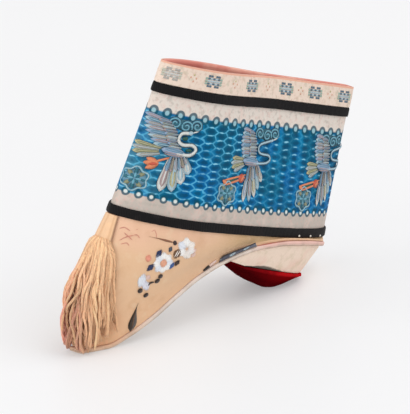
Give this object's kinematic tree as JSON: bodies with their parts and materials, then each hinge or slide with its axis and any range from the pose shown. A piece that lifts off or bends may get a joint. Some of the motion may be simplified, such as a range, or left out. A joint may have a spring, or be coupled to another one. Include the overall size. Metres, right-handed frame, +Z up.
{
  "type": "slipper",
  "caption": "Small ankle-high silk slipper with an arched sole, a covered heel, a patterned woven leg band and a tassel over its pointed toe.",
  "frame": {"origin": "on the floor under the middle of the whole shoe", "axes": "the toe points to -Y and the heel to +Y, +Z is up and the wearer's left is +X"},
  "size_m": [0.0364, 0.1586, 0.1117],
  "materials": {
    "sole": "layered cotton, pale pink edge",
    "insole": "plain cotton",
    "upper": "tan silk with embroidery",
    "leg_band": "woven silk, blue field between cream edges",
    "binding": "ribbed black silk",
    "collar_ribbon": "cream ribbon with small medallions",
    "heel": "cream cotton over a wooden block",
    "heel_lift": "red cloth",
    "tassel": "loose silk thread",
    "arch_ribbon": "patterned ribbon"
  },
  "bodies": {
    "root": {"sole": "sole", "insole": "insole", "upper": "upper", "leg_band": "leg_band", "lower_binding": "binding", "upper_binding": "binding", "collar_ribbon": "collar_ribbon", "heel": "heel", "heel_lift": "heel_lift", "front_tab": "upper", "tassel": "tassel", "arch_ribbon_left": "arch_ribbon", "arch_ribbon_right": "arch_ribbon"}
  },
  "joints": []
}
